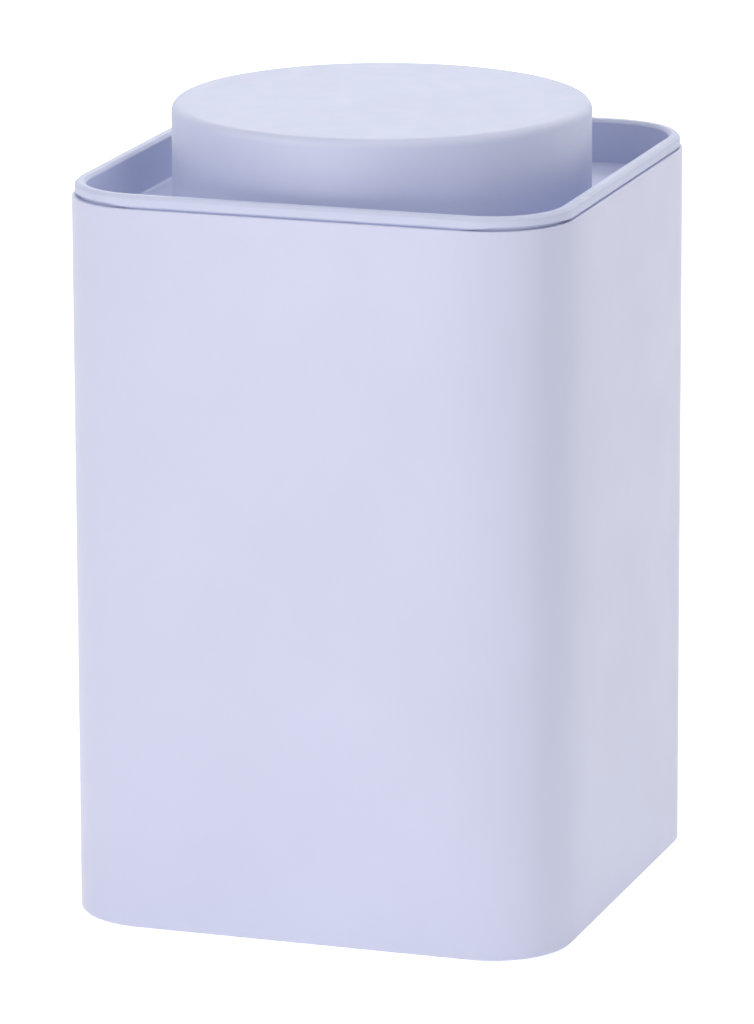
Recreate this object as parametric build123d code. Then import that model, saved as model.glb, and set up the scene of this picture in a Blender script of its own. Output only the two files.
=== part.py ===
from build123d import *
import os

# Stackable jar: painted steel body with a nearly square plan, drawn base, moulded collar, round push-in lid.
# Millimetres, +Z up. The origin is the centre of the foot, on the surface that the jar stands on.

# Steel body
body_width = 100.0  # outside, left to right
body_depth = 102.7  # outside, front to back
body_height = 142.6  # standing surface to the folded top edge
corner_radius = 16.0  # outside radius of the upright corners
sheet = 0.6  # steel of the body and the base
hem_height = 7.0  # leaf folded down inside the mouth
hem_edge_radius = 0.3  # outside radius of the fold at the mouth
foot_lip = 5.5  # width turned in under the base panel
foot_bend_radius = 0.8  # outside radius of the bend into the foot lip

# Base panel
base_clearance = 0.1  # between the panel's flange and the body
base_flange_height = 6.0  # flange turned up along the body wall
base_bend_radius = 1.2  # outside radius of the bend into the flange
draw_radius = 1.4  # inside radius of the bends of the drawn recess

# Collar
rim_setback = 0.3  # rim's outside face, in from the body's
rim_corner_ease = 0.9  # added to the rim's corner radius, so that the gap widens round the corners
rim_width = 2.5
rim_height = 2.0
rim_edge_radius = 1.0
corner_gap = 0.6  # open height under the rim at the rounded corners; along the sides it sits on the body
seat_edge_radius = 0.9  # lower outside edge of the rim along the sides
seat_end_gap = 1.0  # each side's seat stops this far short of the rounded corners
seat_slope = 5.0  # length of the slope from a seat's end up into the corner's gap
collar_clearance = 0.15  # between the collar's skirt and the folded hem
skirt_depth = 14.0  # skirt's reach below the body's top edge
tray_depth = 9.2  # rim top down to the tray floor
tray_foot_radius = 0.8  # foot of the tray walls
tray_floor_thickness = 2.0
neck_rise = 5.0  # neck's lip above the tray floor
neck_wall = 1.8
snap_reach = 0.45  # snap beads that catch under the hem
snap_height = 1.6
snap_length = 30.0
snap_clearance = 0.1

# Lid
finger_gap = 6.3  # between the lid and the tray walls of the narrower sides
lid_rise = 11.1  # lid top above the rim
lid_wall = 1.9
lid_top_thickness = 2.2
lid_edge_radius = 1.7  # soft edge of the top
neck_clearance = 1.3  # between the lid's skirt and the neck
plug_clearance = 0.7  # between the lid's plug and the neck's bore
plug_wall = 2.2
plug_depth = 3.2  # plug's reach below the tray floor

# Seal
seal_height = 3.0
seal_groove_depth = 1.0
seal_groove_lift = 1.8  # groove above the plug's lower end
seal_fit = 0.05  # between the ring and its groove
seal_gap = 0.15  # between the ring and the neck's bore

# Stacking
stack_clearance = 0.5  # round the lid of the jar below, in the recess
stack_headroom = 0.6  # above the lid of the jar below

# Levels, from the standing surface
rim_under = body_height + corner_gap
rim_top = rim_under + rim_height
tray_floor = rim_top - tray_depth
lid_top = rim_top + lid_rise
lid_ceiling = lid_top - lid_top_thickness
plug_end = tray_floor - plug_depth
groove_bottom = plug_end + seal_groove_lift
groove_top = groove_bottom + seal_height
hem_end = body_height - hem_height
recess_roof = lid_rise + stack_headroom

# Distances in from the body's outside face
tray_inset = rim_setback + rim_width
skirt_inset = 2 * sheet + collar_clearance
base_inset = sheet + base_clearance

# Radii about the jar's axis
lid_radius = min(body_width, body_depth) / 2 - tray_inset - finger_gap
neck_outside = lid_radius - lid_wall - neck_clearance
neck_bore = neck_outside - neck_wall
plug_radius = neck_bore - plug_clearance
groove_radius = plug_radius - seal_groove_depth
recess_radius = lid_radius + stack_clearance


def square_block(inset, bottom, top, ease=0):
    """Upright block with the body's rounded plan, drawn in all round by inset, its corners eased."""
    plan = RectangleRounded(body_width - 2 * inset, body_depth - 2 * inset, corner_radius - inset + ease)
    return extrude(Pos(0, 0, bottom) * plan, top - bottom)


def round_block(radius, bottom, top):
    """Upright cylinder on the jar's axis."""
    return extrude(Pos(0, 0, bottom) * Circle(radius), top - bottom)


def bevel(edges, radius):
    """Small bend or soft edge, made as the flat that touches the arc of this radius."""
    return chamfer(edges, radius * (2 - 2**0.5))


def lowest_edges(solid):
    return solid.edges().group_by(Axis.Z)[0]


def highest_edges(solid):
    return solid.edges().group_by(Axis.Z)[-1]


def ring_edge(solid, radius, height):
    """The full circle of this radius and height on the jar's axis."""
    circles = solid.edges().filter_by(GeomType.CIRCLE)
    at_height = circles.filter_by_position(Axis.Z, height - 0.01, height + 0.01)
    return at_height.filter_by(lambda edge: abs(edge.radius - radius) < 0.01)


def nearest_vertex(section, radius, height):
    return section.vertices().sort_by_distance((radius, height, 0))[0]


def half_section(*points):
    """Closed outline drawn as (radius, height), to be turned about the jar's axis."""
    return make_face(Polyline(*points, close=True))


def turned(section):
    return revolve(Plane.XZ * section, Axis.Z)


def make_body_shell():
    """Square sleeve with a lip turned in at the foot and the sheet folded in at the mouth."""
    outside = square_block(0, 0, body_height)
    outside = bevel(lowest_edges(outside), foot_bend_radius)
    outside = bevel(highest_edges(outside), hem_edge_radius)
    inside = square_block(sheet, sheet, hem_end)
    inside = bevel(lowest_edges(inside), foot_bend_radius - sheet)
    mouth = square_block(2 * sheet, hem_end, body_height)
    return outside - inside - mouth - square_block(foot_lip, 0, sheet)


def make_base_panel():
    """Pan that lies on the foot lip, with a round recess drawn up for the lid of the jar below."""
    flange_top = sheet + base_flange_height
    outside = square_block(base_inset, sheet, flange_top)
    outside = bevel(lowest_edges(outside), base_bend_radius)
    inside = square_block(base_inset + sheet, 2 * sheet, flange_top)
    inside = bevel(lowest_edges(inside), base_bend_radius - sheet)
    raised = round_block(recess_radius + sheet, sheet, recess_roof + sheet)
    raised = bevel(highest_edges(raised), draw_radius + sheet)
    recess = round_block(recess_radius, sheet, recess_roof)
    recess = bevel(highest_edges(recess), draw_radius)
    panel = outside - inside + raised - recess
    panel = bevel(ring_edge(panel, recess_radius + sheet, 2 * sheet), draw_radius)
    return bevel(ring_edge(panel, recess_radius, sheet), draw_radius + sheet)


def make_snap_bead(across):
    """Wedge on the skirt's +X side that catches under the hem of a body that is this wide across."""
    skirt_face = across / 2 - skirt_inset
    catch = hem_end - snap_clearance
    root = skirt_face - collar_clearance
    wedge = make_face(
        Polyline(
            (root, catch),
            (skirt_face + snap_reach, catch),
            (skirt_face, catch - snap_height),
            (root, catch - snap_height),
            close=True,
        )
    )
    return extrude(Plane.XZ * wedge, snap_length / 2, both=True)


def make_seat_span(along, across):
    """Block across the jar, as long as two of the rim's seats; its ends slope up into the corner gaps."""
    foot = along / 2 - corner_radius - seat_end_gap
    head = foot + seat_slope
    section = make_face(
        Polyline((-foot, body_height), (foot, body_height), (head, rim_under), (-head, rim_under), close=True)
    )
    return extrude(Plane.XZ * section, across / 2, both=True)


def make_collar():
    """Rim, sunk square tray with a round neck, and the skirt that snaps into the body's mouth."""
    rim = square_block(rim_setback, rim_under, rim_top, rim_corner_ease)
    skirt = square_block(skirt_inset, body_height - skirt_depth, rim_under)
    seats = square_block(rim_setback, body_height, rim_under, rim_corner_ease)
    seats = bevel(lowest_edges(seats), seat_edge_radius)
    front_and_back = make_seat_span(body_width, body_depth)
    left_and_right = Rot(0, 0, 90) * make_seat_span(body_depth, body_width)
    seats &= front_and_back + left_and_right
    tray = square_block(tray_inset, tray_floor, rim_top)
    tray = bevel(lowest_edges(tray), tray_foot_radius)
    tray_under = tray_floor - tray_floor_thickness
    under_tray = square_block(tray_inset, body_height - skirt_depth, tray_under)
    neck = round_block(neck_outside, tray_under, tray_floor + neck_rise)
    bore = round_block(neck_bore, tray_under, tray_floor + neck_rise)

    collar = rim + skirt + seats - tray - under_tray + neck - bore
    for turn in (0, 180):
        collar += Rot(0, 0, turn) * make_snap_bead(body_width)
        collar += Rot(0, 0, turn + 90) * make_snap_bead(body_depth)
    return bevel(highest_edges(collar), rim_edge_radius)


def make_lid():
    """Round cap: soft-edged flat top, skirt that stands on the tray floor, plug with a seal groove."""
    skirt_inside = lid_radius - lid_wall
    plug_inside = plug_radius - plug_wall
    section = half_section(
        (0, lid_top),
        (lid_radius, lid_top),
        (lid_radius, tray_floor),
        (skirt_inside, tray_floor),
        (skirt_inside, lid_ceiling),
        (plug_radius, lid_ceiling),
        (plug_radius, groove_top),
        (groove_radius, groove_top),
        (groove_radius, groove_bottom),
        (plug_radius, groove_bottom),
        (plug_radius, plug_end),
        (plug_inside, plug_end),
        (plug_inside, lid_ceiling),
        (0, lid_ceiling),
    )
    section = fillet(nearest_vertex(section, lid_radius, lid_top), lid_edge_radius)
    return turned(section)


def make_lid_seal():
    """Silicone ring in the plug's groove, standing out of it towards the neck's bore."""
    back = groove_radius + seal_fit
    front = neck_bore - seal_gap
    bottom = groove_bottom + seal_fit
    top = groove_top - seal_fit
    return turned(half_section((back, bottom), (front, bottom), (front, top), (back, top)))


nodes = {
    "body_shell": make_body_shell(),
    "base_panel": make_base_panel(),
    "collar": make_collar(),
    "lid": make_lid(),
    "lid_seal": make_lid_seal(),
}

os.makedirs("parts", exist_ok=True)
for name, shape in nodes.items():
    export_step(shape, f"parts/{name}.step")
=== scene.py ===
import math
from typing import NamedTuple

import bpy
from mathutils import Matrix, Vector

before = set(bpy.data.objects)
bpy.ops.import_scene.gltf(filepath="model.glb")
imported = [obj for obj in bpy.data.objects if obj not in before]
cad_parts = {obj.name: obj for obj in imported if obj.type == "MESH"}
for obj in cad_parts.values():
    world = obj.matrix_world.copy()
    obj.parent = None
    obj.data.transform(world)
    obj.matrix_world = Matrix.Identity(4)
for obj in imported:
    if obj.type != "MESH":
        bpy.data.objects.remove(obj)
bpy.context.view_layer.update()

# The photograph's view: degrees, metres, and pixels of its 754 by 1024 frame
CAMERA_AZIMUTH = 18.64
CAMERA_ELEVATION = 14.14
CAMERA_ROLL = -0.194
CAMERA_DISTANCE = 1.3992
AIM_RIGHT = -0.00121
AIM_HEIGHT = 0.07369
FOCAL_PIXELS = 7096.0
FRAME_HEIGHT = 1024
SENSOR_WIDTH = 36.0

# Stage: emission for rays that look at it, which see it as white, and for rays that carry light
WORLD_SEEN = 1.0
WORLD_LIGHT = 0.0
FLOOR_SEEN = 0.6
FLOOR_LIGHT = 0.33
FLOOR_COLOUR = (0.85, 0.85, 0.85, 1.0)
FLOOR_ROUGHNESS = 0.9
FLOOR_REACH = 4.0  # metres from the jar's axis to each side
WHITE = (1.0, 1.0, 1.0, 1.0)

# Softboxes round the jar: watts, width and height in metres, azimuth off the front and elevation in degrees
LAMP_DISTANCE = 1.5
LAMP_AIM = 0.08
SOFTBOXES = {
    "key": (3.4, (0.5, 0.3), -12, 3),
    "key_left": (4.5, (0.5, 0.4), -30, 25),
    "key_high": (3.3, (1.0, 0.7), -45, 42),
    "top": (7.6, (1.0, 1.0), 0, 90),
    "right": (3.8, (0.6, 0.7), 60, 12),
    "right_high": (3.8, (1.0, 0.7), 120, 45),
    "back": (5.0, (1.0, 1.0), 168, 30),
    "back_left": (3.3, (1.0, 0.9), -148, 25),
}

# Parts of a noise's range that are stretched to the range asked for
NOISE_MIDDLE = (0.3, 0.7)
NOISE_WHOLE = (0.0, 1.0)

# How late the light turns from a flat side into an upright corner of the body: an arc alone would be sudden
CORNER_POWER = 4.5
# A face takes the eased normal as its own agrees with it from the first of these cosines to the second
CORNER_MATCH = (0.85, 0.95)


class Finish(NamedTuple):
    """A surface: linear colour, roughness range, and sizes in metres."""

    colour: tuple
    shades: tuple  # darkest and lightest patch, as shares of the colour
    patch: float  # width of the colour's patches
    patch_range: tuple  # part of the noise's range that spans the shades
    roughness: tuple
    gloss_patch: float  # width of the patches of roughness
    softness: float  # rounding of the small edges
    grains: tuple  # width and depth of each layer of bumps


# Satin powder coat: faint orange peel, slightly uneven gloss
PAINT = Finish(
    colour=(0.652, 0.67, 0.854),
    shades=(0.985, 1.015),
    patch=0.03,
    patch_range=NOISE_MIDDLE,
    roughness=(0.36, 0.44),
    gloss_patch=0.012,
    softness=0.0002,
    grains=((0.0016, 0.00002), (0.0003, 0.000003)),
)

# Matte moulding with a fine spark-eroded grain
PLASTIC = Finish(
    colour=(0.622, 0.66, 0.851),
    shades=(0.98, 1.02),
    patch=0.02,
    patch_range=NOISE_MIDDLE,
    roughness=(0.45, 0.55),
    gloss_patch=0.004,
    softness=0.0005,
    grains=((0.0004, 0.00001),),
)

# Soft pale seal
SILICONE = Finish(
    colour=(0.70, 0.71, 0.78),
    shades=(0.96, 1.0),
    patch=0.004,
    patch_range=NOISE_WHOLE,
    roughness=(0.45, 0.6),
    gloss_patch=0.001,
    softness=0.0005,
    grains=((0.0003, 0.000004),),
)


class Graph:
    """A material's node tree, with short calls to add and link nodes."""

    def __init__(self, name):
        self.material = bpy.data.materials.new(name)
        self.material.use_nodes = True
        self.tree = self.material.node_tree
        self.shader = self.tree.nodes["Principled BSDF"]
        self.place = self.add("ShaderNodeTexCoord").outputs["Object"]

    def add(self, kind, **inputs):
        node = self.tree.nodes.new(kind)
        for key, value in inputs.items():
            node.inputs[key.replace("_", " ")].default_value = value
        return node

    def link(self, source, target):
        self.tree.links.new(source, target)

    def noise(self, width):
        """Noise whose features are about that many metres across."""
        node = self.add("ShaderNodeTexNoise", Scale=1.0 / width)
        self.link(self.place, node.inputs["Vector"])
        return node.outputs["Fac"]

    def spread(self, value, source=NOISE_MIDDLE, target=(0.0, 1.0)):
        """Stretches one range of a value to another."""
        node = self.add("ShaderNodeMapRange", From_Min=source[0], From_Max=source[1],
                        To_Min=target[0], To_Max=target[1])
        self.link(value, node.inputs["Value"])
        return node.outputs["Result"]

    def mix(self, kind, factor):
        """Mix node for a kind of socket, with its two inputs and its output."""
        node = self.tree.nodes.new("ShaderNodeMix")
        node.data_type = kind
        self.link(factor, node.inputs["Factor"])
        first, second = [socket for socket in node.inputs if socket.type == kind and socket.name in "AB"]
        return first, second, next(socket for socket in node.outputs if socket.type == kind)

    def tint(self, factor, dark, light):
        """Mixes two colours."""
        first, second, result = self.mix("RGBA", factor)
        first.default_value = (*dark, 1.0)
        second.default_value = (*light, 1.0)
        return result

    def vector(self, operation, *sources):
        """Vector arithmetic on sockets and constants."""
        node = self.tree.nodes.new("ShaderNodeVectorMath")
        node.operation = operation
        for socket, source in zip(node.inputs, sources):
            if isinstance(source, tuple):
                socket.default_value = source
            else:
                self.link(source, socket)
        return node.outputs["Value" if operation == "DOT_PRODUCT" else "Vector"]

    def soft_corners(self, half_size, below):
        """On the upright outside walls of a block of that half size, a normal that eases into its corners."""
        across = self.vector("DIVIDE", self.place, (*half_size, 1.0))
        steepness = self.vector("POWER", self.vector("ABSOLUTE", across), (CORNER_POWER,) * 3)
        outward = self.vector("MULTIPLY", self.vector("SIGN", across), steepness)
        outward = self.vector("NORMALIZE", self.vector("MULTIPLY", outward, (1.0, 1.0, 0.0)))
        on_wall = self.spread(self.vector("DOT_PRODUCT", outward, below), CORNER_MATCH)
        first, second, result = self.mix("VECTOR", on_wall)
        self.link(below, first)
        self.link(outward, second)
        return result

    def soft_edges(self, radius):
        """Normal that rounds the edges by radius metres."""
        return self.add("ShaderNodeBevel", Radius=radius).outputs["Normal"]

    def bump(self, height, depth, below):
        """Bump of that depth in metres, on top of another normal."""
        node = self.add("ShaderNodeBump", Strength=1.0, Distance=depth)
        self.link(height, node.inputs["Height"])
        self.link(below, node.inputs["Normal"])
        return node.outputs["Normal"]


def half_plan(name):
    """Half the width and half the depth of a CAD node."""
    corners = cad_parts[name].bound_box
    return tuple(max(corner[axis] for corner in corners) for axis in (0, 1))


def make_material(name, finish, eased_plan=None):
    """Material with a finish; where a half plan is given, its light eases into the corners of that plan."""
    graph = Graph(name)
    shader = graph.shader
    dark, light = (tuple(channel * shade for channel in finish.colour) for shade in finish.shades)
    patches = graph.spread(graph.noise(finish.patch), finish.patch_range)
    graph.link(graph.tint(patches, dark, light), shader.inputs["Base Color"])
    gloss = graph.spread(graph.noise(finish.gloss_patch), target=finish.roughness)
    graph.link(gloss, shader.inputs["Roughness"])
    normal = graph.soft_edges(finish.softness)
    if eased_plan:
        normal = graph.soft_corners(eased_plan, normal)
    for width, depth in finish.grains:
        normal = graph.bump(graph.noise(width), depth, normal)
    graph.link(normal, shader.inputs["Normal"])
    return graph.material


def dress(name, material):
    """Gives a CAD node its finish."""
    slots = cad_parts[name].data.materials
    slots.clear()
    slots.append(material)


def direction(azimuth, elevation):
    """Unit vector from the jar, by degrees off its front and above the floor."""
    around, above = math.radians(azimuth), math.radians(elevation)
    return Vector((math.sin(around) * math.cos(above), -math.cos(around) * math.cos(above), math.sin(above)))


def add_camera():
    back = direction(CAMERA_AZIMUTH, CAMERA_ELEVATION)
    azimuth = math.radians(CAMERA_AZIMUTH)
    right = Vector((math.cos(azimuth), math.sin(azimuth), 0.0))
    up = back.cross(right)
    roll = Matrix.Rotation(math.radians(CAMERA_ROLL), 3, back)
    aim = Vector((0.0, 0.0, AIM_HEIGHT)) + right * AIM_RIGHT
    data = bpy.data.cameras.new("camera")
    data.sensor_width = SENSOR_WIDTH
    data.lens = FOCAL_PIXELS / FRAME_HEIGHT * SENSOR_WIDTH
    camera = bpy.data.objects.new("camera", data)
    bpy.context.scene.collection.objects.link(camera)
    axes = Matrix((roll @ right, roll @ up, back)).transposed()
    camera.matrix_world = Matrix.Translation(aim + back * CAMERA_DISTANCE) @ axes.to_4x4()
    bpy.context.scene.camera = camera


def add_softbox(name, power, size, azimuth, elevation):
    """Lamp that faces the jar."""
    towards = direction(azimuth, elevation)
    data = bpy.data.lights.new(name, "AREA")
    data.shape = "RECTANGLE"
    data.size, data.size_y = size
    data.energy = power
    lamp = bpy.data.objects.new(name, data)
    lamp.location = Vector((0.0, 0.0, LAMP_AIM)) + towards * LAMP_DISTANCE
    lamp.rotation_euler = (-towards).to_track_quat("-Z", "Y").to_euler()
    bpy.context.scene.collection.objects.link(lamp)


def looking(tree):
    """1 for rays from the camera, a reflection or glass, 0 for rays that carry light."""
    path = tree.nodes.new("ShaderNodeLightPath")
    seen = path.outputs["Is Camera Ray"]
    for kind in ("Is Glossy Ray", "Is Transmission Ray"):
        either = tree.nodes.new("ShaderNodeMath")
        either.operation = "MAXIMUM"
        tree.links.new(seen, either.inputs[0])
        tree.links.new(path.outputs[kind], either.inputs[1])
        seen = either.outputs["Value"]
    return seen


def strength_by_ray(tree, lighting, seen, target):
    """Gives a strength socket one value for rays that carry light and another for those that look."""
    choice = tree.nodes.new("ShaderNodeMapRange")
    choice.inputs["To Min"].default_value = lighting
    choice.inputs["To Max"].default_value = seen
    tree.links.new(looking(tree), choice.inputs["Value"])
    tree.links.new(choice.outputs["Result"], target)


def add_world():
    world = bpy.data.worlds.new("studio")
    world.use_nodes = True
    bpy.context.scene.world = world
    background = world.node_tree.nodes["Background"]
    background.inputs["Color"].default_value = WHITE
    strength_by_ray(world.node_tree, WORLD_LIGHT, WORLD_SEEN, background.inputs["Strength"])


def add_floor():
    """White floor that takes the jar's shadow."""
    mesh = bpy.data.meshes.new("floor")
    signs = ((-1, -1), (1, -1), (1, 1), (-1, 1))
    mesh.from_pydata([(FLOOR_REACH * x, FLOOR_REACH * y, 0) for x, y in signs], [], [(0, 1, 2, 3)])
    floor = bpy.data.objects.new("floor", mesh)
    bpy.context.scene.collection.objects.link(floor)
    material = bpy.data.materials.new("floor")
    material.use_nodes = True
    shader = material.node_tree.nodes["Principled BSDF"]
    shader.inputs["Base Color"].default_value = FLOOR_COLOUR
    shader.inputs["Roughness"].default_value = FLOOR_ROUGHNESS
    shader.inputs["Emission Color"].default_value = WHITE
    strength_by_ray(material.node_tree, FLOOR_LIGHT, FLOOR_SEEN, shader.inputs["Emission Strength"])
    mesh.materials.append(material)


bpy.context.scene.view_settings.view_transform = "Standard"
plastic = make_material("moulded_plastic", PLASTIC)
dress("body_shell", make_material("painted_body", PAINT, half_plan("body_shell")))
dress("base_panel", make_material("painted_base", PAINT))
for node in ("collar", "lid"):
    dress(node, plastic)
dress("lid_seal", make_material("silicone", SILICONE))
add_camera()
add_world()
add_floor()
for name, (power, size, azimuth, elevation) in SOFTBOXES.items():
    add_softbox(name, power, size, azimuth, elevation)
